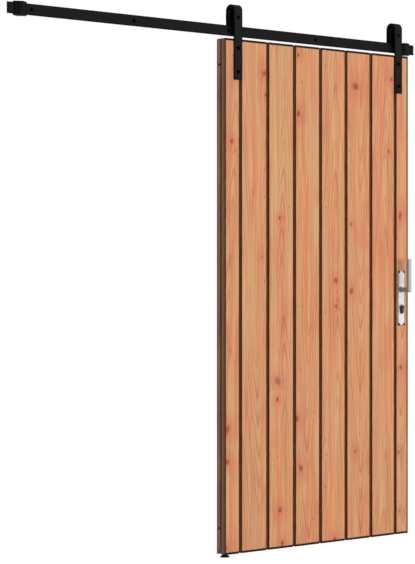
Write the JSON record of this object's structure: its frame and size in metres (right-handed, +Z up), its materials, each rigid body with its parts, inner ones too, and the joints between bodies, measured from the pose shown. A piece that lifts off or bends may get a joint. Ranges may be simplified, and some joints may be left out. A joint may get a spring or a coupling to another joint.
{
  "type": "sliding door",
  "caption": "Boarded timber sliding door on a braced frame, hung by bent straps and grooved rollers from a flat wall rail, with an upright lever lock and a floor guide.",
  "frame": {"origin": "centre of the wall-side end face of the middle rail spacer, on the wall plane", "axes": "+Y into the wall, the door's front faces -Y; +X to the right as seen from the front, along the rail; +Z up"},
  "size_m": [2, 0.1175, 2.095],
  "materials": {
    "facing_board": "satin",
    "frame_timber": "matte",
    "black_steel": "matte",
    "black_nylon": "satin",
    "dark_steel": "satin",
    "plain_aluminium": "satin",
    "satin_steel": "satin",
    "dark_nickel": "satin"
  },
  "bodies": {
    "track": {"rail": "black_steel", "rail_spacer_1": "black_steel", "rail_spacer_2": "black_steel", "rail_spacer_3": "black_steel", "rail_spacer_4": "black_steel", "rail_spacer_5": "black_steel", "left_end_stop": "black_steel", "right_end_stop": "black_steel", "floor_guide": "black_nylon"},
    "door": {"board_1": "facing_board", "board_2": "facing_board", "board_3": "facing_board", "board_4": "facing_board", "board_5": "facing_board", "board_6": "facing_board", "board_7": "facing_board", "board_8": "facing_board", "top_rail": "frame_timber", "middle_rail": "frame_timber", "bottom_rail": "frame_timber", "left_stile": "frame_timber", "right_stile": "frame_timber", "upper_brace": "frame_timber", "lower_brace": "frame_timber", "guide_channel": "plain_aluminium", "left_hanger": "black_steel", "right_hanger": "black_steel", "left_axle": "dark_steel", "right_axle": "dark_steel", "left_bushes": "dark_steel", "right_bushes": "dark_steel", "left_hanger_bolts": "black_steel", "right_hanger_bolts": "black_steel", "lock_plate": "satin_steel", "back_lock_plate": "satin_steel", "lock_cylinder": "dark_nickel", "lock_case": "satin_steel"},
    "left_roller": {"left_roller": "black_nylon"},
    "right_roller": {"right_roller": "black_nylon"},
    "lever": {"lever": "satin_steel"}
  },
  "joints": [
    {"name": "door_slide", "type": "slide", "parent": "track", "child": "door", "axis": [-1, 0, 0], "range_m": [0, 0.922]},
    {"name": "left_roller_spin", "type": "hinge", "parent": "door", "child": "left_roller", "pos_m": [0.031, -0.043, 0.05], "axis": [0, -1, 0], "range_deg": [0, 1770]},
    {"name": "right_roller_spin", "type": "hinge", "parent": "door", "child": "right_roller", "pos_m": [0.891, -0.043, 0.05], "axis": [0, -1, 0], "range_deg": [0, 1770]},
    {"name": "lever_turn", "type": "hinge", "parent": "door", "child": "lever", "pos_m": [0.91, -0.066, -0.985], "axis": [0, -1, 0], "range_deg": [0, 45], "stiffness_Nm_per_rad": 1.2, "springref_deg": -11.46}
  ],
  "couplings": [
    {"joint": "left_roller_spin", "follows": "door_slide", "rad_per_m": 33.333},
    {"joint": "right_roller_spin", "follows": "door_slide", "rad_per_m": 33.333}
  ]
}
